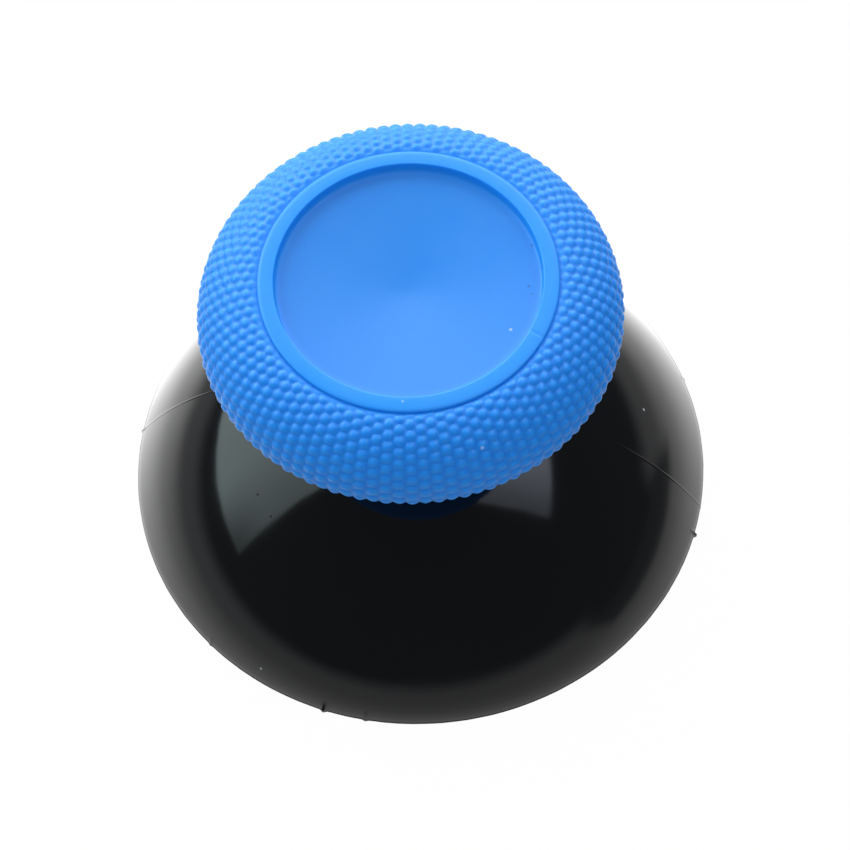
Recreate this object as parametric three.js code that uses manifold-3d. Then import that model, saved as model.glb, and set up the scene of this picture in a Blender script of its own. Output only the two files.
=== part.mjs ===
// Thumbstick cap of a game controller: a black dome with its neck and shaft socket, and a blue
// knurled grip moulded round the neck's head. Millimetres, +Z up, the foot of the dome on z = 0.
import * as THREE from "three";
import { mergeVertices } from "three/addons/utils/BufferGeometryUtils.js";
import Module from "manifold-3d";

// Dome skirt: a ball segment with an upright edge at its foot
const DOME_DIAMETER = 25.0;
const DOME_RISE = 7.8;
const DOME_WALL = 1.2;
const FOOT_EDGE = 0.2;

// Neck between the dome and the grip
const NECK_DIAMETER = 7.8;
const NECK_STRAIGHT = 2.02;
const NECK_ROOT_FILLET = 1.5;
const NECK_FLARE = 2.2;

// Head of the neck, locked inside the grip
const HEAD_DIAMETER = 13.4;
const HEAD_COLLAR = 0.5;

// Grip
const GRIP_DIAMETER = 18.0;
const GRIP_HEIGHT = 3.8;
const GRIP_LIP = 0.8;
const GRIP_FLOOR = 0.85;
const WAIST_HEIGHT = 0.9;
const UNDERSIDE_ROUND = 1.3;

// Plain ring and dish on top of the grip
const RING_DIAMETER = 12.6;
const RING_WIDTH = 0.68;
const RING_STEP = 0.14;
const RING_FALL = 0.05;
const RING_EDGE_ROUND = 0.07;
const RIM_TUCK = 0.2;
const RIM_FULLNESS = 1.9;
const DISH_WALL = 0.45;
const DISH_DRAFT = 0.04;
const DISH_CONE = 0.6;

// Knurl: domed studs in staggered columns round the grip
const STUDS_PER_ROW = 50;
const STUD_HALF_PITCH = 0.245;
const STUD_HEIGHT = 0.1;
const PLAIN_ROWS_BELOW = 1;

// Boss under the dome, with a socket for a round shaft that has two flats
const BOSS_DIAMETER = 6.4;
const BOSS_RECESS = 1.0;
const SOCKET_DIAMETER = 4.0;
const SOCKET_FLATS = 3.0;
const SOCKET_DEPTH = 7.0;
const SOCKET_LEAD_IN = 0.35;

// Ribs from the boss to the dome
const RIB_COUNT = 4;
const RIB_THICKNESS = 0.8;
const RIB_REACH = 8.0;
const RIB_RECESS = 1.4;

// Facets: steps along each arc, and segments round the hidden turned shapes
const BALL_STEPS = 8;
const ROOT_STEPS = 3;
const FLARE_STEPS = 4;
const RIM_STEPS = 200;
const RIB_STEPS = 5;
const EDGE_STEPS = 2;
const SOCKET_STEPS = 8;
const INSIDE_SEGMENTS = 48;

// How far a joined shape reaches into its neighbour, and a cutter past the face that it opens
const BURY = 0.4;
const OVERSHOOT = 1.0;

// Heights and radii that follow from the sizes above
const columns = 2 * STUDS_PER_ROW;
const domeRadius = DOME_DIAMETER / 2;
const ballRadius = (domeRadius ** 2 + DOME_RISE ** 2) / (2 * DOME_RISE);
const ballCentre = FOOT_EDGE + DOME_RISE - ballRadius;
const neckRadius = NECK_DIAMETER / 2;
const rootCentreRadius = neckRadius + NECK_ROOT_FILLET;
const rootCentreHeight = ballCentre + Math.sqrt((ballRadius + NECK_ROOT_FILLET) ** 2 - rootCentreRadius ** 2);
const flareStart = rootCentreHeight + NECK_STRAIGHT;
const gripBottom = flareStart + NECK_FLARE;
const gripTop = gripBottom + GRIP_HEIGHT;
const mouthRadius = neckRadius + NECK_FLARE + HEAD_COLLAR;
const headRadius = HEAD_DIAMETER / 2;
const headBottom = gripBottom + GRIP_LIP;
const headTop = gripTop - DISH_WALL - DISH_CONE - GRIP_FLOOR;
const bossRadius = BOSS_DIAMETER / 2;
const socketRadius = SOCKET_DIAMETER / 2;

const wasm = await Module();
wasm.setup();

function ballRadiusAt(height, radius) {
  return Math.sqrt(radius ** 2 - (height - ballCentre) ** 2);
}

function ballHeightAt(distance, radius) {
  return ballCentre + Math.sqrt(radius ** 2 - distance ** 2);
}

function arcPoints(x, y, radius, from, to, steps) {
  const clockwise = to < from;
  return new THREE.Path().absarc(x, y, radius, from, to, clockwise).getSpacedPoints(steps);
}

// Shared vertices are merged and the empty triangles at the axis dropped, so that the skin is closed.
function closedSkin(geometry) {
  const bare = new THREE.BufferGeometry();
  bare.setAttribute("position", geometry.getAttribute("position"));
  bare.setIndex(geometry.index ?? [...Array(geometry.getAttribute("position").count).keys()]);
  const merged = mergeVertices(bare);
  const corners = merged.index.array;
  const kept = [];
  for (let i = 0; i < corners.length; i += 3) {
    const [a, b, c] = corners.subarray(i, i + 3);
    if (a !== b && b !== c && c !== a) kept.push(a, b, c);
  }
  merged.setIndex(kept);
  return merged;
}

function toSolid(geometry) {
  const skin = closedSkin(geometry);
  const vertProperties = Float32Array.from(skin.getAttribute("position").array);
  const triVerts = Uint32Array.from(skin.index.array);
  return new wasm.Manifold(new wasm.Mesh({ numProp: 3, vertProperties, triVerts }));
}

// A rounded outline between an ellipse, at a fullness of 2, and a straight chamfer, at 1
function roundPoints(x, y, width, height, from, to) {
  const power = 2 / RIM_FULLNESS;
  const points = [];
  for (let step = 0; step <= RIM_STEPS; step += 1) {
    const turn = from + ((to - from) * step) / RIM_STEPS;
    const across = Math.abs(Math.cos(turn)) ** power;
    const up = Math.sign(turn) * Math.abs(Math.sin(turn)) ** power;
    points.push(new THREE.Vector2(x + width * across, y + height * up));
  }
  return points;
}

function toGeometry(solid) {
  const mesh = solid.getMesh();
  const geometry = new THREE.BufferGeometry();
  geometry.setAttribute("position", new THREE.BufferAttribute(mesh.vertProperties, 3));
  geometry.setIndex(new THREE.BufferAttribute(mesh.triVerts, 1));
  return geometry;
}

function turned(profile, segments) {
  return new THREE.LatheGeometry(profile, segments).rotateX(Math.PI / 2);
}

// Outside of the black moulding, from the foot to the top of the head, filled to the axis
function domeOutline() {
  const rootAngle = Math.atan2(rootCentreHeight - ballCentre, rootCentreRadius);
  const footAngle = Math.atan2(FOOT_EDGE - ballCentre, domeRadius);
  const rootStart = Math.PI + rootAngle;
  const rootMiddle = [rootCentreRadius, rootCentreHeight];
  const root = arcPoints(...rootMiddle, NECK_ROOT_FILLET, rootStart, Math.PI, ROOT_STEPS);
  return [
    new THREE.Vector2(0, 0),
    new THREE.Vector2(domeRadius, 0),
    ...arcPoints(0, ballCentre, ballRadius, footAngle, rootAngle, BALL_STEPS),
    ...root.slice(1),
    ...arcPoints(neckRadius + NECK_FLARE, flareStart, NECK_FLARE, Math.PI, Math.PI / 2, FLARE_STEPS),
    new THREE.Vector2(mouthRadius, gripBottom),
    new THREE.Vector2(mouthRadius, headBottom),
    new THREE.Vector2(headRadius, headBottom),
    new THREE.Vector2(headRadius, headTop),
    new THREE.Vector2(0, headTop),
  ];
}

// Hollow under the dome, one wall inside the ball
function hollowOutline() {
  const inner = ballRadius - DOME_WALL;
  const mouth = ballRadiusAt(0, inner);
  const footAngle = Math.atan2(-ballCentre, mouth);
  return [
    new THREE.Vector2(0, -OVERSHOOT),
    new THREE.Vector2(mouth, -OVERSHOOT),
    ...arcPoints(0, ballCentre, inner, footAngle, Math.PI / 2, BALL_STEPS),
  ];
}

function bossOutline() {
  const top = ballHeightAt(bossRadius, ballRadius - DOME_WALL) + BURY;
  return [
    new THREE.Vector2(0, BOSS_RECESS),
    new THREE.Vector2(bossRadius, BOSS_RECESS),
    new THREE.Vector2(bossRadius, top),
    new THREE.Vector2(0, top),
  ];
}

// Socket: a round hole with two flats, running up from the end of the boss
function socketGeometry() {
  const halfFlats = SOCKET_FLATS / 2;
  const corner = Math.asin(halfFlats / socketRadius);
  const outline = new THREE.Shape();
  outline.absarc(0, 0, socketRadius, -corner, corner, false);
  outline.absarc(0, 0, socketRadius, Math.PI - corner, Math.PI + corner, false);
  outline.closePath();
  const depth = SOCKET_DEPTH + OVERSHOOT;
  const settings = { depth, bevelEnabled: false, curveSegments: SOCKET_STEPS };
  const hole = new THREE.ExtrudeGeometry(outline, settings);
  return hole.translate(0, 0, BOSS_RECESS - OVERSHOOT);
}

function leadInOutline() {
  const mouth = socketRadius + SOCKET_LEAD_IN;
  return [
    new THREE.Vector2(0, BOSS_RECESS - OVERSHOOT),
    new THREE.Vector2(mouth, BOSS_RECESS - OVERSHOOT),
    new THREE.Vector2(mouth, BOSS_RECESS),
    new THREE.Vector2(SOCKET_FLATS / 2, BOSS_RECESS + mouth - SOCKET_FLATS / 2),
    new THREE.Vector2(0, BOSS_RECESS + mouth - SOCKET_FLATS / 2),
  ];
}

// Rib: a thin gusset from the boss out to the dome, its top edge buried in the dome wall
function ribGeometry() {
  const middle = ballRadius - DOME_WALL / 2;
  const start = bossRadius - BURY;
  const outer = Math.atan2(ballHeightAt(RIB_REACH, middle) - ballCentre, RIB_REACH);
  const inner = Math.atan2(ballHeightAt(start, middle) - ballCentre, start);
  const outline = new THREE.Shape([
    new THREE.Vector2(start, BOSS_RECESS + RIB_RECESS),
    ...arcPoints(0, ballCentre, middle, outer, inner, RIB_STEPS),
  ]);
  const rib = new THREE.ExtrudeGeometry(outline, { depth: RIB_THICKNESS, bevelEnabled: false });
  return rib.translate(0, 0, -RIB_THICKNESS / 2).rotateX(Math.PI / 2);
}

function makeDome() {
  let solid = toSolid(turned(domeOutline(), columns));
  solid = solid.subtract(toSolid(turned(hollowOutline(), INSIDE_SEGMENTS)));
  solid = solid.add(toSolid(turned(bossOutline(), INSIDE_SEGMENTS)));
  for (let i = 0; i < RIB_COUNT; i += 1) {
    const turn = ((i + 0.5) * 2 * Math.PI) / RIB_COUNT;
    solid = solid.add(toSolid(ribGeometry().rotateZ(turn)));
  }
  solid = solid.subtract(toSolid(turned(leadInOutline(), INSIDE_SEGMENTS)));
  solid = solid.subtract(toSolid(socketGeometry()));
  return toGeometry(solid);
}

// Knurled rim: a small round under the waist, then one large round up to the ring, in even steps
function rimPoints() {
  const waistRadius = GRIP_DIAMETER / 2 - STUD_HEIGHT;
  const waist = gripBottom + WAIST_HEIGHT;
  const ringRadius = RING_DIAMETER / 2;
  const upperCentre = ringRadius - RIM_TUCK;
  const upperWidth = waistRadius - upperCentre;
  const upperHeight = gripTop - RING_STEP - waist;
  const ringAngle = Math.acos((RIM_TUCK / upperWidth) ** (RIM_FULLNESS / 2));
  const lowerCentre = waistRadius - UNDERSIDE_ROUND;
  const lower = roundPoints(lowerCentre, waist, UNDERSIDE_ROUND, WAIST_HEIGHT, -Math.PI / 2, 0);
  const upper = roundPoints(upperCentre, waist, upperWidth, upperHeight, 0, ringAngle);
  const rim = new THREE.Path([...lower, ...upper.slice(1)]);
  const rows = Math.round(rim.getLength() / STUD_HALF_PITCH);
  return rim.getSpacedPoints(rows);
}

// The ring's crest is highest at its inner edge and falls a little outwards
function ringAndDishPoints() {
  const outer = RING_DIAMETER / 2;
  const inner = outer - RING_WIDTH;
  const round = Math.min(RING_EDGE_ROUND, RING_STEP - RING_FALL, RING_WIDTH / 2);
  const shoulder = gripTop - round;
  const floorEdge = gripTop - DISH_WALL;
  return [
    ...arcPoints(outer - round, shoulder - RING_FALL, round, 0, Math.PI / 2, EDGE_STEPS),
    ...arcPoints(inner + round, shoulder, round, Math.PI / 2, Math.PI, EDGE_STEPS),
    new THREE.Vector2(inner - DISH_DRAFT, floorEdge),
    new THREE.Vector2(inner / 2, floorEdge - DISH_CONE / 2),
    new THREE.Vector2(0, floorEdge - DISH_CONE),
  ];
}

// Every second vertex of the rim is raised along the profile's normal, in a chequered order, and
// each quad is split from hollow to hollow, so that each raised vertex is one stud.
function raiseStuds(geometry, profile, firstRow, lastRow) {
  const position = geometry.getAttribute("position");
  const count = profile.length;
  const isStud = (column, row) => row > firstRow && row < lastRow && (column + row) % 2 === 0;
  for (let column = 0; column <= columns; column += 1) {
    const turn = (2 * Math.PI * (column % columns)) / columns;
    for (let row = firstRow + 1; row < lastRow; row += 1) {
      if (!isStud(column, row)) continue;
      const along = profile[row + 1].clone().sub(profile[row - 1]).normalize();
      const radius = profile[row].x + along.y * STUD_HEIGHT;
      const height = profile[row].y - along.x * STUD_HEIGHT;
      position.setXYZ(column * count + row, radius * Math.sin(turn), height, radius * Math.cos(turn));
    }
  }
  const faces = [];
  for (let column = 0; column < columns; column += 1) {
    for (let row = 0; row < count - 1; row += 1) {
      const a = column * count + row;
      const b = a + count;
      const c = b + 1;
      const d = a + 1;
      const studOnDiagonal = isStud(column + 1, row) || isStud(column, row + 1);
      if (studOnDiagonal) faces.push(a, b, c, a, c, d);
      else faces.push(a, b, d, c, d, b);
    }
  }
  geometry.setIndex(faces);
  return geometry;
}

function makeGrip() {
  const pocket = [
    new THREE.Vector2(0, headTop),
    new THREE.Vector2(headRadius, headTop),
    new THREE.Vector2(headRadius, headBottom),
    new THREE.Vector2(mouthRadius, headBottom),
    new THREE.Vector2(mouthRadius, gripBottom),
  ];
  const rim = rimPoints();
  const profile = [...pocket, ...rim, ...ringAndDishPoints()];
  const firstRow = pocket.length + PLAIN_ROWS_BELOW;
  const lastRow = pocket.length + rim.length - 1;
  const lathe = new THREE.LatheGeometry(profile, columns);
  return closedSkin(raiseStuds(lathe, profile, firstRow, lastRow).rotateX(Math.PI / 2));
}

const glossBlack = new THREE.MeshStandardMaterial({ color: "#0c0e10", roughness: 0.16, metalness: 0 });
const satinBlue = new THREE.MeshStandardMaterial({ color: "#2f86ee", roughness: 0.5, metalness: 0 });

const dome = new THREE.Mesh(makeDome(), glossBlack);
dome.name = "stick_dome";

const grip = new THREE.Mesh(makeGrip(), satinBlue);
grip.name = "grip_cap";

const thumbstick = new THREE.Group();
thumbstick.add(dome, grip);

export default thumbstick;
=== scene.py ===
"""Looks of a thumbstick cap: a polished black dome and a satin blue grip with a knurled rim.

Laid out as a Blender add-on and run as a script. All lengths are in metres unless a name says
millimetres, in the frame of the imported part, with +Z up.
"""

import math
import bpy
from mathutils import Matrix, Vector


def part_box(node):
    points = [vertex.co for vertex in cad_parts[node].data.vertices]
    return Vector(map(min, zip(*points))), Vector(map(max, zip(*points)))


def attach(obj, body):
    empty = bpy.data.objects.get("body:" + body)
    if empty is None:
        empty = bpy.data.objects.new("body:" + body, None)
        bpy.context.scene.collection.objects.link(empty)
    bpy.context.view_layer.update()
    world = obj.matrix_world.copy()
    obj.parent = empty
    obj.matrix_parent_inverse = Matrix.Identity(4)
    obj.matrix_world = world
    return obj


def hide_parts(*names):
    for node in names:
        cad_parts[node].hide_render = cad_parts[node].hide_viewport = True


bl_info = {
    "name": "Thumbstick cap",
    "version": (1, 0, 0),
    "blender": (4, 5, 0),
    "location": "3D View > Sidebar > Thumbstick",
    "description": "Builds the moulded dome, the knurled grip and the studio of a thumbstick cap",
    "category": "Object",
}

import bpy
from bpy.props import FloatProperty, FloatVectorProperty, IntProperty, PointerProperty
from mathutils import Matrix, Vector, noise

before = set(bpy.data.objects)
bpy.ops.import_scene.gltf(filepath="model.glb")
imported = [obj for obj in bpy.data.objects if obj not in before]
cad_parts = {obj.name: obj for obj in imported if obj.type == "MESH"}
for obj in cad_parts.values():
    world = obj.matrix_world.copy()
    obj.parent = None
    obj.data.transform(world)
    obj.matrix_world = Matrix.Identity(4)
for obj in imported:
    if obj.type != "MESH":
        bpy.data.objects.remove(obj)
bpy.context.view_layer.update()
DOME_LOW, DOME_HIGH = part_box("stick_dome")
GRIP_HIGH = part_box("grip_cap")[1]

MM = 0.001
DEGREE = math.pi / 180
QUARTER = math.pi / 2
BODY = "root"


def linear(code):
    """Turns an sRGB hex colour such as 2080F0 into linear red, green and blue."""
    shares = [int(code[i:i + 2], 16) / 255 for i in (0, 2, 4)]
    return [s / 12.92 if s <= 0.04045 else ((s + 0.055) / 1.055) ** 2.4 for s in shares]


class DomeSizes(bpy.types.PropertyGroup):
    width: FloatProperty(
        name="Width", description="Across the foot of the dome",
        default=DOME_HIGH.x - DOME_LOW.x, unit="LENGTH")
    rise: FloatProperty(
        name="Rise", description="Height of the ball segment above the foot's upright edge",
        default=7.8 * MM, unit="LENGTH")
    wall: FloatProperty(
        name="Wall", description="Thickness of the hollow dome", default=1.2 * MM, unit="LENGTH")
    foot_edge: FloatProperty(
        name="Foot edge", description="Height of the upright edge round the foot",
        default=0.2 * MM, unit="LENGTH")
    neck_width: FloatProperty(
        name="Neck width", description="Across the neck", default=7.8 * MM, unit="LENGTH")
    seam_lift: FloatProperty(
        name="Seam height", description="How far the mould's seam stands proud",
        default=0.012 * MM, unit="LENGTH")
    seam_turn: FloatProperty(
        name="Seam angle", description="Direction of the mould's parting plane",
        default=-12.8 * DEGREE, subtype="ANGLE")


class GripSizes(bpy.types.PropertyGroup):
    width: FloatProperty(
        name="Width", description="Across the grip, over its studs", default=18.0 * MM, unit="LENGTH")
    height: FloatProperty(
        name="Height", description="From the grip's underside to the ring",
        default=3.8 * MM, unit="LENGTH")
    ring_width: FloatProperty(
        name="Ring diameter", description="Across the plain ring", default=12.6 * MM, unit="LENGTH")
    ring_band: FloatProperty(
        name="Ring band", description="Width of the ring's band", default=0.68 * MM, unit="LENGTH")
    dish_wall: FloatProperty(
        name="Dish wall", description="Height of the step into the dish",
        default=0.45 * MM, unit="LENGTH")
    dish_cone: FloatProperty(
        name="Dish cone", description="Fall of the dish's floor to its middle",
        default=0.6 * MM, unit="LENGTH")
    studs_round: IntProperty(
        name="Studs round", description="Studs in each row of the knurl", default=50, min=3)
    half_pitch: FloatProperty(
        name="Half pitch", description="Step between neighbouring rows of studs",
        default=0.245 * MM, unit="LENGTH")
    stud_height: FloatProperty(
        name="Stud height", description="Height of each domed stud", default=0.1 * MM, unit="LENGTH")
    stud_fill: FloatProperty(
        name="Stud fill", description="Share of its cell that a stud's round foot reaches",
        default=0.72, min=0.3, max=1.2)
    stud_turn: FloatProperty(
        name="Stud angle", description="Turn of the first column of studs",
        default=1.15 * DEGREE, subtype="ANGLE")


class Finishes(bpy.types.PropertyGroup):
    black: FloatVectorProperty(
        name="Black", description="Colour of the dome's plastic", default=linear("07090D"),
        subtype="COLOR", min=0, max=1)
    blue: FloatVectorProperty(
        name="Blue", description="Colour of the grip's plastic", default=linear("1B90F0"),
        subtype="COLOR", min=0, max=1)
    # A darker blue that colours the dish
    dish_tone: FloatVectorProperty(
        name="Dish blue", description="Colour of the plastic over the dish",
        default=linear("2082DB"), subtype="COLOR", min=0, max=1)


class Studio(bpy.types.PropertyGroup):
    distance: FloatProperty(
        name="Distance", description="From the camera to the part's foot",
        default=0.24, unit="LENGTH")
    elevation: FloatProperty(
        name="Elevation", description="Height angle of the camera",
        default=60.7 * DEGREE, subtype="ANGLE")
    roll: FloatProperty(
        name="Roll", description="Turn of the camera about its line of sight",
        default=-3.5 * DEGREE, subtype="ANGLE")
    aim_right: FloatProperty(
        name="Aim right", description="Shift of the part to the right in the picture",
        default=-0.2 * MM, unit="LENGTH")
    aim_up: FloatProperty(
        name="Aim up", description="Shift of the part up in the picture",
        default=-2.01 * MM, unit="LENGTH")
    lens: FloatProperty(
        name="Lens", description="Focal length for a sensor 36 mm wide, in millimetres",
        default=230.13)


def arc(centre_radius, centre_height, radius, start, end, steps, radius_up=None):
    """Points of a round or oval arc in the half plane of radius and height."""
    up = radius_up or radius
    turns = [start + (end - start) * i / steps for i in range(steps + 1)]
    return [(centre_radius + radius * math.cos(t), centre_height + up * math.sin(t)) for t in turns]


def turned_mesh(name, profile, angles, place=None):
    """Closed skin turned about Z. Its profile starts and ends on the axis, or ends where it starts.

    place(row, radius, height, angle) gives a point's own x, y and z where it isn't plainly turned.
    """
    points = []
    rows = []
    for row, (radius, height) in enumerate(profile):
        if radius < 1e-9:
            rows.append([len(points)] * len(angles))
            points.append((0.0, 0.0, height))
            continue
        rows.append(range(len(points), len(points) + len(angles)))
        for angle in angles:
            if place:
                points.append(place(row, radius, height, angle))
            else:
                points.append((radius * math.cos(angle), radius * math.sin(angle), height))
    faces = []
    for low, high in zip(rows, rows[1:]):
        for i in range(len(angles)):
            j = (i + 1) % len(angles)
            corners = [low[i], low[j], high[j], high[i]]
            faces.append(list(dict.fromkeys(corners)))
    mesh = bpy.data.meshes.new(name)
    mesh.from_pydata(points, [], faces)
    mesh.validate()
    return mesh


def add_object(name, data):
    """Puts a mesh, a light or a camera into the scene."""
    piece = bpy.data.objects.new(name, data)
    bpy.context.scene.collection.objects.link(piece)
    return piece


def add_node(tree, kind, settings=None, inputs=None):
    """Adds a node. Settings are its attributes, and inputs are values or the sockets that feed it."""
    node = tree.nodes.new(kind)
    for name, value in (settings or {}).items():
        setattr(node, name, value)
    for key, value in (inputs or {}).items():
        if isinstance(value, bpy.types.NodeSocket):
            tree.links.new(value, node.inputs[key])
        else:
            node.inputs[key].default_value = value
    return node


def add_math(tree, operation, *values):
    """Adds one step of arithmetic and returns its result."""
    node = add_node(tree, "ShaderNodeMath", {"operation": operation}, dict(enumerate(values)))
    return node.outputs[0]


def smooth_step(tree, value, start, end, first, last):
    """Goes smoothly from first to last while value goes from start to end, and is level beyond."""
    node = add_node(
        tree, "ShaderNodeMapRange", {"interpolation_type": "SMOOTHSTEP"},
        {"Value": value, "From Min": start, "From Max": end, "To Min": first, "To Max": last})
    return node.outputs["Result"]


def mix_colours(tree, share, first, second):
    """Goes from the first colour to the second. A colour is linear with its alpha, or a socket."""
    node = add_node(
        tree, "ShaderNodeMix", {"data_type": "RGBA"}, {"Factor": share, "A": first, "B": second})
    return node.outputs[2]


def distance_to(tree, place, centre):
    """Distance of a place from a fixed point."""
    node = add_node(tree, "ShaderNodeVectorMath", {"operation": "DISTANCE"}, {0: place, 1: centre})
    return node.outputs["Value"]


def distance_off_axis(tree, place):
    """Distance of a place from the Z axis."""
    flat = add_node(tree, "ShaderNodeVectorMath", {"operation": "MULTIPLY"}, {0: place, 1: (1, 1, 0)})
    node = add_node(tree, "ShaderNodeVectorMath", {"operation": "LENGTH"}, {0: flat.outputs[0]})
    return node.outputs["Value"]


def new_material(name):
    """Adds a material with an empty node tree."""
    material = bpy.data.materials.new(name)
    material.use_nodes = True
    material.node_tree.nodes.clear()
    return material, material.node_tree


# How far out the dish's darker colour reaches
DISH_TONE_RADIUS = 5.55 * MM
DISH_TONE_FADE = 0.3 * MM
# Painted shade: what the blue is multiplied by deep between the studs and in the groove beside the ring
VALLEY_SHADE_TINT = (0.68, 0.81, 0.9)
DOME_SHARP = 35 * DEGREE
GRIP_SHARP = 50 * DEGREE

# Marks on the surfaces: a place and a radius in millimetres, and how strongly each shows
DISH_LINT = [((4.11, -2.42, 15.95), 0.11, 0.5), ((-0.53, -5.8, 16.5), 0.08, 0.35)]
RIM_LINT = [((2.62, -7.78, 15.65), 0.16, 0.7)]
DISH_DIRT = [((5.23, 1.52, 16.1), 0.08, 0.5), ((4.98, -0.41, 16.05), 0.09, 0.55),
             ((5.08, -0.8, 16.05), 0.06, 0.5), ((0.9, 1.9, 15.8), 0.08, 0.3),
             ((1.6, -2.7, 15.9), 0.09, 0.3)]
DOME_LINT = [((9.88, 0.21, 3.88), 0.09, 0.5), ((-7.39, -9.7, 0.79), 0.07, 0.5)]
DOME_DIRT = [((-7.03, -3.72, 5.51), 0.09, 0.8), ((-6.51, -4.78, 5.41), 0.08, 0.8),
             ((-6.75, -4.2, 5.47), 0.05, 0.6)]
# Share of a mark's radius within which it shows in full
MARK_CORE = 0.4


def mark_cover(tree, place, marks):
    """How much of each point is covered by a list of small soft marks, from 0 to 1."""
    cover = 0.0
    for centre, radius, strength in marks:
        gap = distance_to(tree, place, [c * MM for c in centre])
        fade = smooth_step(tree, gap, MARK_CORE * radius * MM, radius * MM, strength, 0.0)
        cover = add_math(tree, "MAXIMUM", cover, fade)
    return cover


def polished_black_abs(finish):
    """ABS moulded against a polished tool: near black, with clear reflections that waver slightly."""
    material, tree = new_material("polished black ABS")
    place = add_node(tree, "ShaderNodeTexCoord").outputs["Object"]
    # Slow waves in the skin, about 3 mm long, as sink and flow leave them
    waves = add_node(tree, "ShaderNodeTexNoise", None, {"Vector": place, "Scale": 330.0, "Detail": 2.0})
    # A fine network of shallow cells, about 1 mm across
    cells = add_node(
        tree, "ShaderNodeTexVoronoi", {"feature": "DISTANCE_TO_EDGE"}, {"Vector": place, "Scale": 900.0})
    # Handling leaves the gloss uneven, in patches about 6 mm across
    handled = add_node(tree, "ShaderNodeTexNoise", None, {"Vector": place, "Scale": 160.0, "Detail": 5.0})
    rough = add_node(
        tree, "ShaderNodeMapRange", None,
        {"Value": handled.outputs["Fac"], "From Min": 0.35, "From Max": 0.75,
         "To Min": 0.07, "To Max": 0.13})
    lint = mark_cover(tree, place, DOME_LINT)
    dirt = mark_cover(tree, place, DOME_DIRT)
    colour = mix_colours(tree, lint, [*finish.black, 1], [*linear("C8CCD0"), 1])
    rougher = add_math(tree, "MAXIMUM", rough.outputs["Result"], dirt)
    wave_bump = add_node(
        tree, "ShaderNodeBump", None,
        {"Height": waves.outputs["Fac"], "Strength": 0.35, "Distance": 0.02 * MM})
    cell_bump = add_node(
        tree, "ShaderNodeBump", None,
        {"Height": cells.outputs["Distance"], "Strength": 0.04, "Distance": 0.01 * MM,
         "Normal": wave_bump.outputs["Normal"]})
    shader = add_node(
        tree, "ShaderNodeBsdfPrincipled", None,
        {"Base Color": colour, "Roughness": rougher, "IOR": 1.54,
         "Normal": cell_bump.outputs["Normal"]})
    add_node(tree, "ShaderNodeOutputMaterial", None, {"Surface": shader.outputs["BSDF"]})
    return material


def satin_blue_abs(finish):
    """ABS moulded against a fine spark-eroded tool: a soft satin blue that light enters slightly."""
    material, tree = new_material("satin blue ABS")
    place = add_node(tree, "ShaderNodeTexCoord").outputs["Object"]
    # Pigment flow about 1.5 mm across shifts the colour by a few hundredths
    flow = add_node(tree, "ShaderNodeTexNoise", None, {"Vector": place, "Scale": 650.0, "Detail": 3.0})
    # Eroded grain, drawn at 0.12 mm so that it shows
    grain = add_node(tree, "ShaderNodeTexNoise", None, {"Vector": place, "Scale": 8000.0, "Detail": 2.0})
    darker = [c * 0.93 for c in finish.blue]
    tone = mix_colours(tree, flow.outputs["Fac"], [*finish.blue, 1], [*darker, 1])
    # Painted shade: the blue is darker deep between the studs and in the groove beside the ring
    valley_shade = add_node(tree, "ShaderNodeAttribute", {"attribute_name": "valley_shade"}).outputs["Fac"]
    shaded_blue = [c * s for c, s in zip(finish.blue, VALLEY_SHADE_TINT)]
    tone = mix_colours(tree, valley_shade, tone, [*shaded_blue, 1])
    # The dish is coloured a little darker blue than the rest
    out = distance_off_axis(tree, place)
    dish_tone = smooth_step(tree, out, DISH_TONE_RADIUS - DISH_TONE_FADE, DISH_TONE_RADIUS, 1.0, 0.0)
    tone = mix_colours(tree, dish_tone, tone, [*finish.dish_tone, 1])
    dirt = mark_cover(tree, place, DISH_DIRT)
    lint = mark_cover(tree, place, DISH_LINT + RIM_LINT)
    tone = mix_colours(tree, dirt, tone, [*linear("143C78"), 1])
    tone = mix_colours(tree, lint, tone, [*linear("D8E4FF"), 1])
    rough = add_node(
        tree, "ShaderNodeMapRange", None,
        {"Value": flow.outputs["Fac"], "From Min": 0.3, "From Max": 0.7,
         "To Min": 0.36, "To Max": 0.44})
    bump = add_node(
        tree, "ShaderNodeBump", None,
        {"Height": grain.outputs["Fac"], "Strength": 0.25, "Distance": 0.008 * MM})
    shader = add_node(
        tree, "ShaderNodeBsdfPrincipled", None,
        {"Base Color": tone, "Roughness": rough.outputs["Result"], "IOR": 1.5,
         "Specular IOR Level": 0.4, "Subsurface Weight": 0.35, "Subsurface Radius": [0.3, 0.6, 1.0],
         "Subsurface Scale": 0.3 * MM, "Normal": bump.outputs["Normal"]})
    add_node(tree, "ShaderNodeOutputMaterial", None, {"Surface": shader.outputs["BSDF"]})
    return material


# Dome: sizes of its neck, head, underside and edges
ROOT_FILLET = 1.5 * MM
FLARE = 2.2 * MM
COLLAR = 0.5 * MM
LIP = 0.8 * MM
HEAD_RADIUS = 6.7 * MM
BOSS_RADIUS = 3.2 * MM
BOSS_RECESS = 1.0 * MM
BOSS_FILLET = 0.5 * MM
SOCKET_RADIUS = 2.0 * MM
SOCKET_HALF_FLATS = 1.5 * MM
SOCKET_DEPTH = 7.0 * MM
LEAD_IN = 0.35 * MM
RIB_COUNT = 4
RIB_THICKNESS = 0.8 * MM
RIB_REACH = 8.0 * MM
RIB_RECESS = 1.4 * MM
RIB_BITE = 0.4 * MM
EDGE_ROUND = 0.06 * MM
BOSS_ROUND = 2 * EDGE_ROUND
SEAM_WIDTH = 0.035 * MM
DOME_COLUMNS = 240
# Rows of the outside that the foot's flash moves, and rows of the inside that the flats cut
FOOT_ROWS = 6
SOCKET_ROWS = (1, 2)

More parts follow.
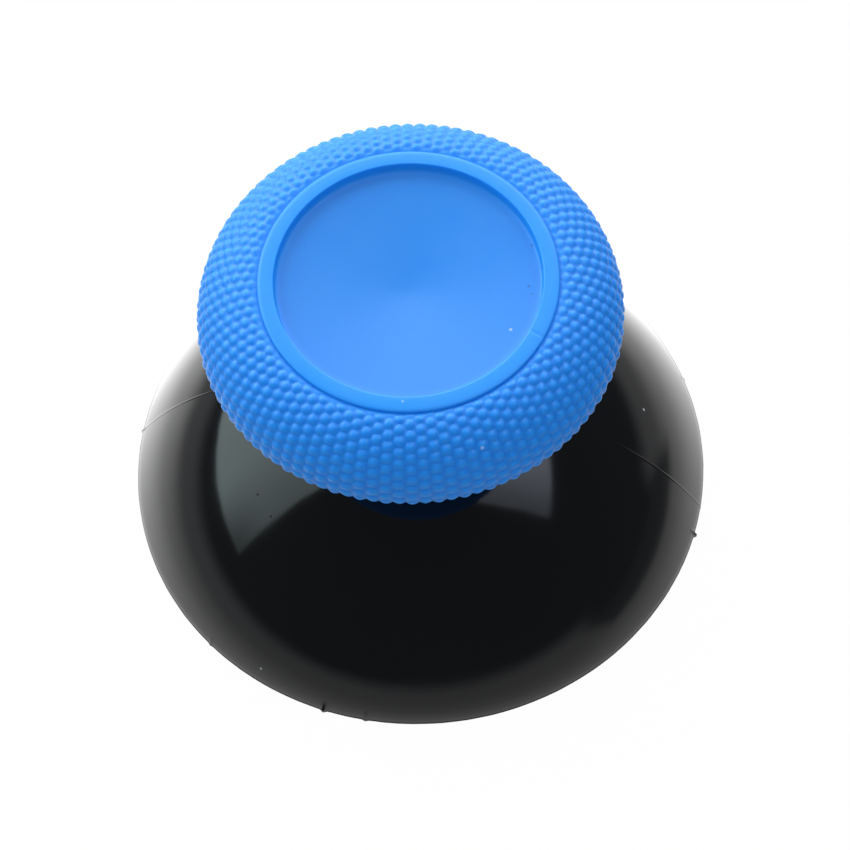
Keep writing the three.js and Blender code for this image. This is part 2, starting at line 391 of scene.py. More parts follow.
# Flash left at the foot: the angle in degrees, the height and the half width of each burr
BURRS = [(-19.2, 0.13 * MM, 0.07 * MM), (-112.6, 0.1 * MM, 0.12 * MM), (-104.0, 0.05 * MM, 0.1 * MM),
         (17.3, 0.05 * MM, 0.1 * MM), (167.2, 0.07 * MM, 0.08 * MM), (-140.0, 0.04 * MM, 0.1 * MM)]
FLASH = 0.03 * MM


def ball_of(sizes):
    """Radius and middle height of the ball that the dome is a segment of."""
    half = sizes.width / 2
    radius = (half ** 2 + sizes.rise ** 2) / (2 * sizes.rise)
    return radius, sizes.foot_edge + sizes.rise - radius


def dome_profile(sizes, grip):
    """Profile of the black moulding in three runs: up its outside, over its head, down its inside."""
    radius, middle = ball_of(sizes)
    half = sizes.width / 2
    neck = sizes.neck_width / 2
    root_radius = neck + ROOT_FILLET
    root_height = middle + math.sqrt((radius + ROOT_FILLET) ** 2 - root_radius ** 2)
    underside = GRIP_HIGH.z - grip.height
    root_turn = math.atan2(root_height - middle, root_radius)
    foot_turn = math.atan2(sizes.foot_edge - middle, half)
    mouth = neck + FLARE + COLLAR
    inner = radius - sizes.wall
    inner_mouth = math.sqrt(inner ** 2 - middle ** 2)
    boss_turn = math.acos((BOSS_RADIUS + BOSS_FILLET) / (inner - BOSS_FILLET))
    boss_foot = middle + (inner - BOSS_FILLET) * math.sin(boss_turn)
    outside = [
        *arc(half - EDGE_ROUND, EDGE_ROUND, EDGE_ROUND, -QUARTER, 0, 3),
        (half, sizes.foot_edge * 0.6),
        *arc(0, middle, radius, foot_turn, root_turn, 44),
        *arc(root_radius, root_height, ROOT_FILLET, math.pi + root_turn, math.pi, 10)[1:],
        *arc(neck + FLARE, underside - FLARE, FLARE, math.pi, QUARTER, 14),
        (mouth, underside),
    ]
    head = [
        (mouth, underside + LIP),
        (HEAD_RADIUS, underside + LIP),
        (HEAD_RADIUS, DOME_HIGH.z),
        (0.0, DOME_HIGH.z),
    ]
    inside = [
        (0.0, BOSS_RECESS + SOCKET_DEPTH),
        (SOCKET_RADIUS, BOSS_RECESS + SOCKET_DEPTH),
        (SOCKET_RADIUS, BOSS_RECESS + 3 * LEAD_IN),
        (SOCKET_RADIUS + LEAD_IN, BOSS_RECESS),
        *arc(BOSS_RADIUS - BOSS_ROUND, BOSS_RECESS + BOSS_ROUND, BOSS_ROUND, -QUARTER, 0, 3),
        *arc(BOSS_RADIUS + BOSS_FILLET, boss_foot, BOSS_FILLET, math.pi, boss_turn, 6),
        *arc(0, middle, inner, boss_turn, math.atan2(EDGE_ROUND - middle, inner_mouth), 30)[1:],
        (inner_mouth + EDGE_ROUND, 0.0),
    ]
    return outside, head, inside


def dome_angles(sizes):
    """Even columns, with closer ones at the mould's seam, the burrs and the socket's corners."""
    angles = {2 * math.pi * i / DOME_COLUMNS for i in range(DOME_COLUMNS)}
    close = [0.0, 0.012 * MM, 0.03 * MM, 0.05 * MM, 0.08 * MM, 0.12 * MM, 0.18 * MM]
    fine = [sizes.seam_turn, sizes.seam_turn + math.pi] + [burr[0] * DEGREE for burr in BURRS]
    for middle in fine:
        for gap in close:
            angles.add((middle + gap / (sizes.width / 2)) % (2 * math.pi))
            angles.add((middle - gap / (sizes.width / 2)) % (2 * math.pi))
    corner = math.asin(SOCKET_HALF_FLATS / SOCKET_RADIUS)
    for turn in (corner, math.pi - corner, math.pi + corner, 2 * math.pi - corner):
        angles.add(turn)
    ordered = sorted(angles)
    following = ordered[1:] + [ordered[0] + 2 * math.pi]
    return [a for a, b in zip(ordered, following) if b - a > 1e-5]


def foot_flash(angle, radius):
    """How far the moulding's flash stands out at the foot, uneven all round, with a few burrs."""
    around = Vector((math.cos(angle), math.sin(angle), 0.0)) * 9
    proud = FLASH * (0.5 + 0.5 * noise.noise(around * 2.5)) * (0.6 + 0.4 * noise.noise(around * 9))
    for degrees, height, width in BURRS:
        off = math.remainder(angle - degrees * DEGREE, 2 * math.pi) * radius / width
        proud += height * math.exp(-off * off)
    return proud - FLASH


def seam_rise(angle, radius, sizes):
    """Height of the fine ridge that the mould's parting plane leaves on both sides."""
    off = math.remainder(angle - sizes.seam_turn, math.pi) * radius / SEAM_WIDTH
    return sizes.seam_lift * math.exp(-off * off)


def build_ribs(sizes):
    """Thin gussets from the boss out to the dome, their top edges buried in the dome's wall."""
    radius, middle = ball_of(sizes)
    buried = radius - sizes.wall / 2
    start = BOSS_RADIUS - RIB_BITE
    ends = [math.acos(RIB_REACH / buried), math.acos(start / buried)]
    outline = [(start, BOSS_RECESS + RIB_RECESS), *arc(0, middle, buried, *ends, 10)]
    points = []
    faces = []
    for i in range(RIB_COUNT):
        turn = Matrix.Rotation((i + 0.5) * 2 * math.pi / RIB_COUNT, 4, "Z")
        first = len(points)
        for side in (-RIB_THICKNESS / 2, RIB_THICKNESS / 2):
            points += [turn @ Vector((r, side, z)) for r, z in outline]
        count = len(outline)
        near = list(range(first, first + count))
        far = list(range(first + count, first + 2 * count))
        faces.append(near)
        faces.append(far[::-1])
        for k in range(count):
            m = (k + 1) % count
            faces.append([near[m], near[k], far[k], far[m]])
    mesh = bpy.data.meshes.new("ribs")
    mesh.from_pydata(points, [], faces)
    return mesh


def build_dome(sizes, grip):
    """Dome with its neck, head, boss and socket, all but the ribs."""
    outside, head, inside = dome_profile(sizes, grip)
    profile = outside + head + inside
    first_inside = len(outside) + len(head)
    socket_rows = [first_inside + row for row in SOCKET_ROWS]

    def place(row, r, z, angle):
        if row < len(outside):
            rise = seam_rise(angle, r, sizes)
            if row < FOOT_ROWS:
                rise += foot_flash(angle, r)
            r += rise
        elif row in socket_rows:
            side = abs(math.sin(angle))
            if side * r > SOCKET_HALF_FLATS:
                r = SOCKET_HALF_FLATS / side
        return r * math.cos(angle), r * math.sin(angle), z

    return turned_mesh("dome", profile + [profile[0]], dome_angles(sizes), place)


def finished_mesh(context, piece):
    """Mesh of a piece with its modifiers applied."""
    context.view_layer.update()
    seen = piece.evaluated_get(context.evaluated_depsgraph_get())
    return bpy.data.meshes.new_from_object(seen)


class THUMBSTICK_OT_dome(bpy.types.Operator):
    """Builds the black moulding: dome, neck, head, boss, socket and ribs"""
    bl_idname = "thumbstick.dome"
    bl_label = "Dome"

    def execute(self, context):
        scene = context.scene
        sizes = scene.thumbstick_dome
        main = add_object("dome_main", build_dome(sizes, scene.thumbstick_grip))
        ribs = add_object("dome_ribs", build_ribs(sizes))
        weld = main.modifiers.new("doubles", "WELD")
        weld.merge_threshold = 1e-7
        join = main.modifiers.new("ribs", "BOOLEAN")
        join.operation = "UNION"
        join.solver = "EXACT"
        join.object = ribs
        mesh = finished_mesh(context, main)
        for spare in (main, ribs):
            bpy.data.objects.remove(spare)
        mesh.materials.clear()
        mesh.materials.append(polished_black_abs(scene.thumbstick_finish))
        mesh.shade_smooth()
        mesh.set_sharp_from_angle(angle=DOME_SHARP)
        piece = add_object("dome_moulding", mesh)
        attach(piece, BODY)
        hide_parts("stick_dome")
        return {"FINISHED"}


# Grip: sizes of its rim, ring and dish
WAIST_HEIGHT = 0.9 * MM
UNDERSIDE_ROUND = 1.3 * MM
RIM_TUCK = 0.2 * MM
RIM_FULLNESS = 1.9
RING_STEP = 0.14 * MM
RING_FALL = 0.035 * MM
RING_ROUND = 0.26 * MM
RING_ROUND_HEIGHT = 0.09 * MM
RING_ROUND_START = 22 * DEGREE
RING_EDGE = 0.06 * MM
DISH_DRAFT = 0.04 * MM
DISH_BLUNT = 0.4 * MM
DISH_FILLET = 0.12 * MM
# The line where the plastic's flow met again, across the ring
WELD_TURN = -30.2 * DEGREE
WELD_DEPTH = 0.02 * MM
WELD_WIDTH = 0.05 * MM
# The shallow groove in which the rim meets the ring
GROOVE_DEPTH = 0.05 * MM
GROOVE_WIDTH = 0.18 * MM
# How finely the mesh is divided, and the rows where the knurl has no studs or fades out
RING_STEPS = 8
RING_EDGE_STEPS = 4
STEPS_PER_COLUMN = 6
STEPS_PER_ROW = 4
PLAIN_ROWS_BELOW = 1
FADED_ROWS_ABOVE = 1.4
# What the mesh tells the knurl's nodes about each of its points
KNURL_VALUES = ("stud_column", "stud_row", "stud_share", "groove")


def fuller(points, centre_radius, centre_height, fullness):
    """Gives an oval arc about a centre another fullness. 2 leaves it oval, and less is flatter."""
    reach = max(abs(r - centre_radius) for r, z in points)
    rise = max(abs(z - centre_height) for r, z in points)
    power = 2 / fullness
    changed = []
    for r, z in points:
        across = math.copysign(reach * (abs(r - centre_radius) / reach) ** power, r - centre_radius)
        up = math.copysign(rise * (abs(z - centre_height) / rise) ** power, z - centre_height)
        changed.append((centre_radius + across, centre_height + up))
    return changed


def even_points(points, count):
    """Points spaced evenly along a polyline."""
    lengths = [math.dist(a, b) for a, b in zip(points, points[1:])]
    total = sum(lengths)
    spaced = [points[0]]
    passed = 0.0
    k = 0
    for i in range(1, count):
        target = total * i / count
        while passed + lengths[k] < target:
            passed += lengths[k]
            k += 1
        share = (target - passed) / lengths[k]
        (ar, az), (br, bz) = points[k], points[k + 1]
        spaced.append((ar + (br - ar) * share, az + (bz - az) * share))
    spaced.append(points[-1])
    return spaced


def rim_profile(grip):
    """Knurled rim from the underside up to the ring, in even steps, with the groove at its end."""
    waist_radius = grip.width / 2 - grip.stud_height
    waist = GRIP_HIGH.z - grip.height + WAIST_HEIGHT
    upper_centre = grip.ring_width / 2 - RIM_TUCK
    upper_width = waist_radius - upper_centre
    upper_height = GRIP_HIGH.z - RING_STEP - waist
    lower_centre = waist_radius - UNDERSIDE_ROUND
    lower = arc(lower_centre, waist, UNDERSIDE_ROUND, -QUARTER, 0, 400, WAIST_HEIGHT)
    upper = arc(upper_centre, waist, upper_width, 0, QUARTER, 600, upper_height)
    lower = fuller(lower, lower_centre, waist, RIM_FULLNESS)
    upper = fuller(upper, upper_centre, waist, RIM_FULLNESS)
    path = lower + [p for p in upper[1:] if p[0] >= grip.ring_width / 2]
    length = sum(math.dist(a, b) for a, b in zip(path, path[1:]))
    rows = round(length / grip.half_pitch)
    points = even_points(path, rows * STEPS_PER_ROW)
    return [(r, z - GROOVE_DEPTH * in_groove(grip, r, z)) for r, z in points]


def in_groove(grip, radius, height):
    """How far a point of the rim lies in the groove beside the ring, from 0 to 1."""
    if height < GRIP_HIGH.z - grip.height / 2:
        return 0.0
    off = (radius - grip.ring_width / 2) / GROOVE_WIDTH
    return math.exp(-off * off)


def top_profile(grip):
    """Ring and dish, from the rim's groove to the axis. The ring's crest falls a little outwards."""
    top = GRIP_HIGH.z
    outer = grip.ring_width / 2
    inner = outer - grip.ring_band
    shoulder = top - RING_FALL - RING_ROUND_HEIGHT
    floor_radius = inner - DISH_DRAFT
    floor = top - grip.dish_wall
    slope = grip.dish_cone / (math.hypot(floor_radius, DISH_BLUNT) - DISH_BLUNT)

    def floor_at(radius):
        return floor - grip.dish_cone + slope * (math.hypot(radius, DISH_BLUNT) - DISH_BLUNT)

    floor_shares = [0.92, 0.78, 0.6, 0.42, 0.28, 0.18, 0.1, 0.05]
    round_turns = (RING_ROUND_START, QUARTER)
    return [
        *arc(outer - RING_ROUND, shoulder, RING_ROUND, *round_turns, RING_STEPS, RING_ROUND_HEIGHT),
        *arc(inner + RING_EDGE, top - RING_EDGE, RING_EDGE, QUARTER, math.pi, RING_EDGE_STEPS),
        (floor_radius + 0.2 * DISH_FILLET, floor + DISH_FILLET),
        (floor_radius - 0.1 * DISH_FILLET, floor + 0.35 * DISH_FILLET),
        (floor_radius - 0.5 * DISH_FILLET, floor + 0.05 * DISH_FILLET),
        (floor_radius - DISH_FILLET, floor_at(floor_radius - DISH_FILLET)),
        *[(floor_radius * share, floor_at(floor_radius * share)) for share in floor_shares],
        (0.0, floor_at(0.0)),
    ]


def build_grip(grip, dome):
    """Grip without its studs, with each point's place in the knurl's grid kept as attributes."""
    mouth = dome.neck_width / 2 + FLARE + COLLAR
    underside = GRIP_HIGH.z - grip.height
    pocket = [
        (0.0, DOME_HIGH.z),
        (HEAD_RADIUS, DOME_HIGH.z),
        (HEAD_RADIUS, underside + LIP),
        (mouth, underside + LIP),
        (mouth, underside),
    ]
    rim = rim_profile(grip)
    top = top_profile(grip)
    profile = pocket + rim + top
    columns = 2 * grip.studs_round
    count = columns * STEPS_PER_COLUMN
    angles = [grip.stud_turn + 2 * math.pi * i / count for i in range(count)]
    ring_start = len(pocket) + len(rim)
    ring_rows = range(ring_start, ring_start + RING_STEPS + RING_EDGE_STEPS + 2)

    def place(row, r, z, angle):
        if row in ring_rows:
            off = math.remainder(angle - WELD_TURN, 2 * math.pi) * r / WELD_WIDTH
            z -= WELD_DEPTH * math.exp(-off * off)
        return r * math.cos(angle), r * math.sin(angle), z

    mesh = turned_mesh("grip", profile, angles, place)
    for name in KNURL_VALUES:
        mesh.attributes.new(name, "FLOAT", "POINT")
    column, row, share, groove = [mesh.attributes[name].data for name in KNURL_VALUES]
    # The pocket has one point on the axis, and full rows after it
    first = 1 + (len(pocket) - 1) * count
    for k, (radius, height) in enumerate(rim):
        from_start = k / STEPS_PER_ROW - PLAIN_ROWS_BELOW
        from_end = (len(rim) - 1 - k) / STEPS_PER_ROW / FADED_ROWS_ABOVE
        stud_share = min(max(min(from_start, from_end), 0.0), 1.0)
        # How far the point lies in the groove, which only sets the painted shade there
        depth = in_groove(grip, radius, height)
        for i in range(count):
            point = first + k * count + i
            column[point].value = i / STEPS_PER_COLUMN
            row[point].value = k / STEPS_PER_ROW
            share[point].value = stud_share
            groove[point].value = depth
    return mesh


def knurl_tree():
    """Geometry Nodes that raise a domed stud at every second crossing of the knurl's grid."""
    tree = bpy.data.node_groups.new("Knurl", "GeometryNodeTree")
    sockets = tree.interface
    sockets.new_socket("Geometry", in_out="INPUT", socket_type="NodeSocketGeometry")
    for name in ("Column Angle", "Half Pitch", "Stud Height", "Stud Fill"):
        sockets.new_socket(name, in_out="INPUT", socket_type="NodeSocketFloat")
    sockets.new_socket("Material", in_out="INPUT", socket_type="NodeSocketMaterial")
    sockets.new_socket("Geometry", in_out="OUTPUT", socket_type="NodeSocketGeometry")
    given = add_node(tree, "NodeGroupInput").outputs
    column, row, share, groove = [
        add_node(
            tree, "GeometryNodeInputNamedAttribute", {"data_type": "FLOAT"}, {"Name": name}).outputs[0]
        for name in KNURL_VALUES]
    position = add_node(tree, "GeometryNodeInputPosition").outputs[0]
    width = add_math(tree, "MULTIPLY", distance_off_axis(tree, position), given["Column Angle"])
    # Squared distances to the nearest stud of each of the two staggered sets
    gaps = []
    for shift in (0.0, 1.0):
        across = add_math(tree, "WRAP", add_math(tree, "ADD", column, shift), 1.0, -1.0)
        along = add_math(tree, "WRAP", add_math(tree, "ADD", row, shift), 1.0, -1.0)
        across = add_math(tree, "POWER", add_math(tree, "MULTIPLY", across, width), 2.0)
        along = add_math(tree, "POWER", add_math(tree, "MULTIPLY", along, given["Half Pitch"]), 2.0)
        gaps.append(add_math(tree, "ADD", across, along))
    gap = add_math(tree, "MINIMUM", *gaps)
    cell = add_math(tree, "MULTIPLY", width, given["Half Pitch"])
    reach = add_math(tree, "MULTIPLY", cell, add_math(tree, "POWER", given["Stud Fill"], 2.0))
    left = add_math(tree, "SUBTRACT", 1.0, add_math(tree, "DIVIDE", gap, reach))
    dome = add_math(tree, "MAXIMUM", left, 0.0)
    lift = add_math(tree, "MULTIPLY", add_math(tree, "MULTIPLY", dome, share), given["Stud Height"])
    normal = add_node(tree, "GeometryNodeInputNormal").outputs[0]
    offset = add_node(tree, "ShaderNodeVectorMath", {"operation": "SCALE"}, {0: normal, "Scale": lift})
    raised = add_node(
        tree, "GeometryNodeSetPosition", None,
        {"Geometry": given["Geometry"], "Offset": offset.outputs[0]})
    # How deep a point lies between the studs or in the groove, for the painted shade in the colour to
    # follow
    shade_between_studs = add_math(tree, "MULTIPLY", add_math(tree, "SUBTRACT", 1.0, dome), share)
    shade_between_studs = add_math(tree, "MAXIMUM", shade_between_studs, groove)
    raised = add_node(
        tree, "GeometryNodeStoreNamedAttribute", {"data_type": "FLOAT", "domain": "POINT"},
        {"Geometry": raised.outputs[0], "Name": "valley_shade", "Value": shade_between_studs})
    real = add_node(tree, "GeometryNodeRealizeInstances", None, {"Geometry": raised.outputs[0]})
    finished = add_node(
        tree, "GeometryNodeSetMaterial", None,
        {"Geometry": real.outputs[0], "Material": given["Material"]})
    add_node(tree, "NodeGroupOutput", None, {"Geometry": finished.outputs[0]})
    return tree


class THUMBSTICK_OT_grip(bpy.types.Operator):
    """Builds the blue grip: dish, ring and knurled rim"""
    bl_idname = "thumbstick.grip"
    bl_label = "Grip"

    def execute(self, context):
        scene = context.scene
        grip = scene.thumbstick_grip
        smooth = add_object("grip_smooth", build_grip(grip, scene.thumbstick_dome))
        smooth.data.shade_smooth()
        tree = knurl_tree()
        knurl = smooth.modifiers.new("knurl", "NODES")
        knurl.node_group = tree
        values = {
            "Column Angle": math.pi / grip.studs_round,
            "Half Pitch": grip.half_pitch,
            "Stud Height": grip.stud_height,
            "Stud Fill": grip.stud_fill,
            "Material": satin_blue_abs(scene.thumbstick_finish),
        }
        for item in tree.interface.items_tree:
            if item.in_out == "INPUT" and item.name in values:
                knurl[item.identifier] = values[item.name]
        mesh = finished_mesh(context, smooth)
        bpy.data.objects.remove(smooth)
        mesh.set_sharp_from_angle(angle=GRIP_SHARP)
        piece = add_object("grip_moulding", mesh)
        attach(piece, BODY)
        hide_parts("grip_cap")
        return {"FINISHED"}


# Studio: a white sheet under the part, a window behind it, softboxes above it and above its sides,
# and a low card in front
FLOOR_HALF = 1.5
FLOOR_DROP = 0.002 * MM
# Each light's centre and facing are an azimuth and an elevation in degrees, its lengths are metres
LIGHTS = [
    # name, centre, distance, facing, width, height, radiance, colour
    ("back_window", (95.0, 28.0), 0.5, (95.0, 28.0), 1.0, 0.5, 2.8, "FFFFFF"),
    ("top_softbox", (-90.0, 88.0), 0.5, (-90.0, 88.0), 0.3, 0.3, 0.3, "FFFFFF"),
    ("left_softbox", (149.2, 29.3), 0.515, (195.0, 44.2), 0.589, 0.385, 2.3, "E8FFFF"),
    ("right_softbox", (-2.1, 68.2), 0.482, (11.1, 35.1), 0.294, 0.417, 2.1, "E4EEFF"),
    ("front_card", (-90.0, 6.0), 0.5, (-90.0, 6.0), 0.3, 0.3, 2.4, "FFFFFF"),
]
# How a softbox falls off, as its reflection shows: across its width from where to where, the share
# lost there, and the share lost as well towards its foot
FALLOFF = {"left_softbox": (0.65, 1.0, 0.45, 0.35), "right_softbox": (0.6, 0.0, 0.65, 0.0)}
FALLOFF_FOOT = 0.4
# Lights that only dull surfaces gather
UNSEEN_IN_GLOSS = ("front_card",)
# The room as gloss shows it: its grey, and the paler band at its horizon up to a height's sine
ROOM_GREY = 0.09
HORIZON_GREY = 0.45
HORIZON_LOW_SINE = -0.01
HORIZON_HIGH_SINE = 0.12
# The room as dull surfaces gather it: its level beside the part, and how much more is behind
ROOM_FILL = 0.41
ROOM_BACK = 0.16
# The sheet as the camera sees it: mostly plain white, and the rest is lit and holds the shadow
SHEET_GREY = 0.82
WHITE_SHARE = 0.98

# Pool of light on the sheet behind the part, as the part's gloss shows it
POOL_CENTRE = (-3.0 * MM, 14.0 * MM, 0.0)
POOL_RADIUS = 19.5 * MM
POOL_GLOW = 2.4
SHEET_GLOW = 0.47
NEAR_GLOW = 0.6
NEAR_RADIUS = 19 * MM
# The part's shadow on the sheet: hard beside its foot, and soft further out
CONTACT_INNER = 12.45 * MM
CONTACT_OUTER = 12.75 * MM
CONTACT_SHARE = 0.03
SHADE_RADIUS = 30 * MM
SHADE_SHARE = 0.35
# A dark board off to the right, which is not built: its reflection is painted by dimming the sheet's
# glow, and the room's horizon is darker in its directions
BOARD_TURN = -13 * DEGREE
BOARD_SPREAD = 30 * DEGREE
BOARD_CORE = 0.6 * BOARD_SPREAD
BOARD_NEAR = 20 * MM
BOARD_FAR = 27 * MM
BOARD_SHARE = 0.3


def camera_axes(studio):
    """The picture's right and up, and the direction from the part to the camera."""
    toward = Vector((0, -math.cos(studio.elevation), math.sin(studio.elevation)))
    level_up = Vector((0, math.sin(studio.elevation), math.cos(studio.elevation)))
    level_right = Vector((1, 0, 0))
    right = math.cos(studio.roll) * level_right + math.sin(studio.roll) * level_up
    up = -math.sin(studio.roll) * level_right + math.cos(studio.roll) * level_up
    return right, up, toward


def facing_matrix(place, right, up, back):
    """Places a camera or a light, which looks along the opposite of back."""
    return Matrix.Translation(place) @ Matrix((right, up, back)).transposed().to_4x4()


def add_camera(studio):
    """Camera at the photograph's angle, with the part where the photograph has it."""
    right, up, toward = camera_axes(studio)
    data = bpy.data.cameras.new("camera")
    data.lens = studio.lens
    data.sensor_width = 36
    data.clip_start = 0.005
    data.clip_end = 10
    camera = add_object("camera", data)
    place = studio.distance * toward - studio.aim_right * right - studio.aim_up * up
    camera.matrix_world = facing_matrix(place, right, up, toward)
    bpy.context.scene.camera = camera


def direction(azimuth, elevation):
    """Unit vector to an azimuth and an elevation in degrees."""
    a = azimuth * DEGREE
    e = elevation * DEGREE
    return Vector((math.cos(a) * math.cos(e), math.sin(a) * math.cos(e), math.sin(e)))


def dim_one_side(data, start, end, lost, lost_low):
    """Lets a softbox fall off across its width from start to end, and more so at its foot there."""
    data.use_nodes = True
    tree = data.node_tree
    tree.nodes.clear()
    across = add_node(tree, "ShaderNodeNewGeometry").outputs["Parametric"]
    parts = add_node(tree, "ShaderNodeSeparateXYZ", None, {0: across}).outputs
    side = smooth_step(tree, parts["X"], start, end, 0.0, 1.0)
    low = smooth_step(tree, parts["Y"], FALLOFF_FOOT, 0.0, 0.0, 1.0)
    loss = add_math(tree, "MULTIPLY", side, add_math(tree, "MULTIPLY_ADD", low, lost_low, lost))
    level = add_math(tree, "SUBTRACT", 1.0, loss)
    glow = add_node(tree, "ShaderNodeEmission", None, {"Strength": level})
    add_node(tree, "ShaderNodeOutputLight", None, {"Surface": glow.outputs[0]})


def add_lights():
    """Softboxes, window and card, each as bright over its face as its radiance says."""
    for name, centre, distance, facing, width, height, radiance, colour in LIGHTS:
        back = direction(*facing)
        right = Vector((0, 0, 1)).cross(back).normalized()
        data = bpy.data.lights.new(name, "AREA")
        data.shape = "RECTANGLE"
        data.size = width
        data.size_y = height
        data.energy = radiance * math.pi * width * height
        data.color = linear(colour)
        if name in FALLOFF:
            dim_one_side(data, *FALLOFF[name])
        lamp = add_object(name, data)
        lamp.visible_glossy = name not in UNSEEN_IN_GLOSS
        lamp.matrix_world = facing_matrix(direction(*centre) * distance, right, back.cross(right), back)


def shown_background(tree):
    """1 for the rays by which the camera sees the background, also through glass, else 0."""
    path = add_node(tree, "ShaderNodeLightPath").outputs
    return add_math(tree, "MAXIMUM", path["Is Camera Ray"], path["Is Transmission Ray"])


def beside_board(tree, place):
    """0 in the directions of the dark board off to the right, where its reflection is painted as dimming,
    and 1 clear of it.
    """
    parts = add_node(tree, "ShaderNodeSeparateXYZ", None, {0: place}).outputs
    turn = add_math(tree, "ARCTAN2", parts["Y"], parts["X"])
    off = add_math(tree, "ABSOLUTE", add_math(tree, "SUBTRACT", turn, BOARD_TURN))
    return smooth_step(tree, off, BOARD_CORE, BOARD_SPREAD, 0.0, 1.0)


def for_dull(tree, others, dull):
    """One value for the light that dull surfaces gather, and another for all other rays."""
    diffuse = add_node(tree, "ShaderNodeLightPath").outputs["Is Diffuse Ray"]
    node = add_node(
        tree, "ShaderNodeMix", {"data_type": "FLOAT"}, {"Factor": diffuse, "A": others, "B": dull})
    return node.outputs[0]


def pool_glow(tree):
    """Brightness of the sheet: a round pool of light that fades outwards from behind the part."""
    place = add_node(tree, "ShaderNodeTexCoord").outputs["Object"]
    share = add_math(tree, "DIVIDE", distance_to(tree, place, POOL_CENTRE), POOL_RADIUS)
    share = add_math(tree, "POWER", share, 2.0)
    pool = add_math(tree, "EXPONENT", add_math(tree, "MULTIPLY", share, -1.0))
    out = distance_off_axis(tree, place)
    beside = smooth_step(tree, out, CONTACT_OUTER, NEAR_RADIUS, 1.0 + NEAR_GLOW, 1.0)
    pool = add_math(tree, "MULTIPLY", pool, beside)
    glow = add_math(tree, "MULTIPLY_ADD", pool, POOL_GLOW, SHEET_GLOW)
    # Painted reflection of the dark board: beyond a little way out, the sheet's glow is dimmed in its
    # directions
    near = smooth_step(tree, out, BOARD_NEAR, BOARD_FAR, 1.0, BOARD_SHARE)
    unboarded = add_math(tree, "MAXIMUM", beside_board(tree, place), near)
    shade = for_dull(tree, 1.0, smooth_step(tree, out, CONTACT_OUTER, SHADE_RADIUS, SHADE_SHARE, 1.0))
    contact = smooth_step(tree, out, CONTACT_INNER, CONTACT_OUTER, CONTACT_SHARE, 1.0)
    for factor in (unboarded, shade, contact):
        glow = add_math(tree, "MULTIPLY", glow, factor)
    return glow


def add_floor():
    """White sheet: to the camera plain white with a faint shadow, and to the part a pool of light."""
    corners = [(-FLOOR_HALF, -FLOOR_HALF), (FLOOR_HALF, -FLOOR_HALF), (FLOOR_HALF, FLOOR_HALF),
               (-FLOOR_HALF, FLOOR_HALF)]
    mesh = bpy.data.meshes.new("sheet")
    mesh.from_pydata([(x, y, -FLOOR_DROP) for x, y in corners], [], [(0, 1, 2, 3)])
    material, tree = new_material("white paper sheet")
    lit = add_node(
        tree, "ShaderNodeBsdfDiffuse", None, {"Color": [SHEET_GREY, SHEET_GREY, SHEET_GREY, 1]})
    white = add_node(tree, "ShaderNodeEmission", None, {"Strength": 1.0})
    seen = add_node(
        tree, "ShaderNodeMixShader", None, {0: WHITE_SHARE, 1: lit.outputs[0], 2: white.outputs[0]})
    glow = add_node(tree, "ShaderNodeEmission", None, {"Strength": pool_glow(tree)})
    mixed = add_node(
        tree, "ShaderNodeMixShader", None,
        {0: shown_background(tree), 1: glow.outputs[0], 2: seen.outputs[0]})
    add_node(tree, "ShaderNodeOutputMaterial", None, {"Surface": mixed.outputs[0]})
    material.cycles.emission_sampling = "NONE"
    mesh.materials.append(material)
    add_object("sheet", mesh)


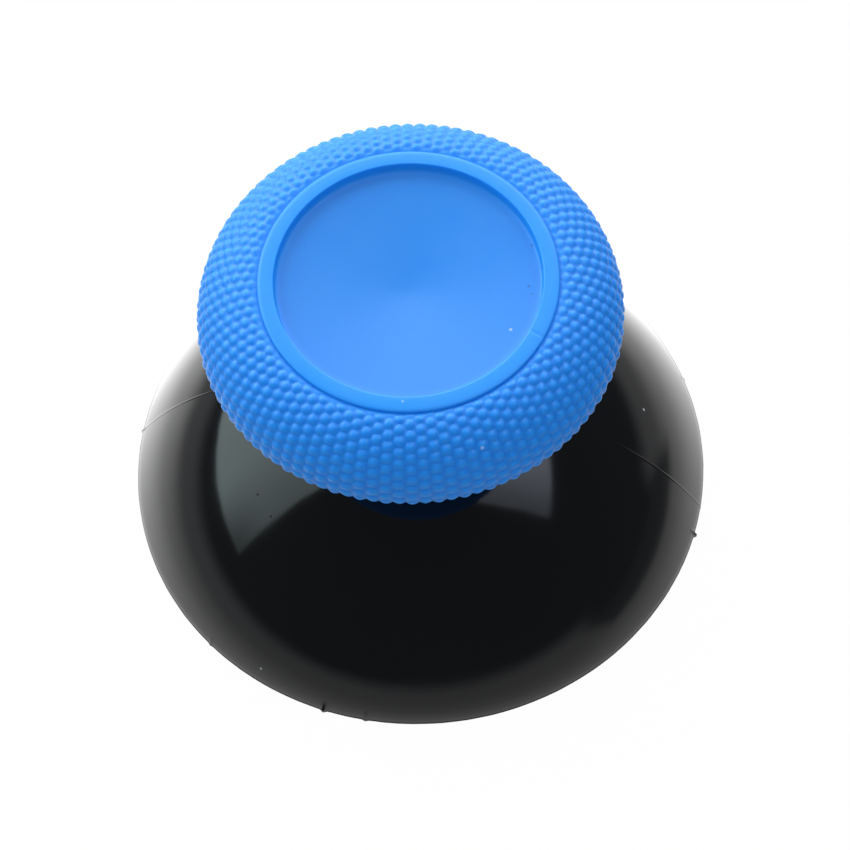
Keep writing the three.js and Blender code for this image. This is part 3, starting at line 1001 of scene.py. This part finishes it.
def add_world(scene):
    """White to the camera, a dim room with a paler horizon to gloss, and a soft fill to the rest."""
    world = bpy.data.worlds.new("room")
    world.use_nodes = True
    tree = world.node_tree
    tree.nodes.clear()
    toward = add_node(tree, "ShaderNodeTexCoord").outputs["Generated"]
    parts = add_node(tree, "ShaderNodeSeparateXYZ", None, {0: toward}).outputs
    paler = HORIZON_GREY - ROOM_GREY
    glow = add_math(tree, "MULTIPLY_ADD", beside_board(tree, toward), paler, ROOM_GREY)
    dusk = smooth_step(tree, parts["Z"], HORIZON_LOW_SINE, HORIZON_HIGH_SINE, glow, ROOM_GREY)
    fill = add_math(tree, "MULTIPLY_ADD", parts["Y"], ROOM_BACK, ROOM_FILL)
    level = for_dull(tree, dusk, fill)
    room = add_node(tree, "ShaderNodeBackground", None, {"Color": [1, 1, 1, 1], "Strength": level})
    white = add_node(tree, "ShaderNodeBackground", None, {"Color": [1, 1, 1, 1], "Strength": 1.0})
    mixed = add_node(
        tree, "ShaderNodeMixShader", None,
        {0: shown_background(tree), 1: room.outputs[0], 2: white.outputs[0]})
    add_node(tree, "ShaderNodeOutputWorld", None, {"Surface": mixed.outputs[0]})
    scene.world = world


class THUMBSTICK_OT_stage(bpy.types.Operator):
    """Sets up the sheet, the room, the lights and the camera"""
    bl_idname = "thumbstick.stage"
    bl_label = "Stage"

    def execute(self, context):
        add_camera(context.scene.thumbstick_studio)
        add_lights()
        add_floor()
        add_world(context.scene)
        context.scene.view_settings.view_transform = "Standard"
        return {"FINISHED"}


class THUMBSTICK_PT_panel(bpy.types.Panel):
    """Lists the operators and the sizes that they use"""
    bl_label = "Thumbstick cap"
    bl_idname = "THUMBSTICK_PT_panel"
    bl_space_type = "VIEW_3D"
    bl_region_type = "UI"
    bl_category = "Thumbstick"

    def draw(self, context):
        groups = [
            ("thumbstick.dome", context.scene.thumbstick_dome),
            ("thumbstick.grip", context.scene.thumbstick_grip),
            ("thumbstick.stage", context.scene.thumbstick_studio),
        ]
        for operator, sizes in groups:
            self.layout.operator(operator)
            for name in sizes.__annotations__:
                self.layout.prop(sizes, name)
        for name in Finishes.__annotations__:
            self.layout.prop(context.scene.thumbstick_finish, name)


CLASSES = (
    DomeSizes, GripSizes, Finishes, Studio, THUMBSTICK_OT_dome, THUMBSTICK_OT_grip,
    THUMBSTICK_OT_stage, THUMBSTICK_PT_panel)
GROUPS = {
    "thumbstick_dome": DomeSizes, "thumbstick_grip": GripSizes, "thumbstick_finish": Finishes,
    "thumbstick_studio": Studio}


def register():
    for item in CLASSES:
        bpy.utils.register_class(item)
    for name, group in GROUPS.items():
        setattr(bpy.types.Scene, name, PointerProperty(type=group))


def unregister():
    for name in GROUPS:
        delattr(bpy.types.Scene, name)
    for item in reversed(CLASSES):
        bpy.utils.unregister_class(item)


def main():
    register()
    bpy.ops.thumbstick.stage()
    bpy.ops.thumbstick.dome()
    bpy.ops.thumbstick.grip()
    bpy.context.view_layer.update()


if __name__ == "__main__":
    main()
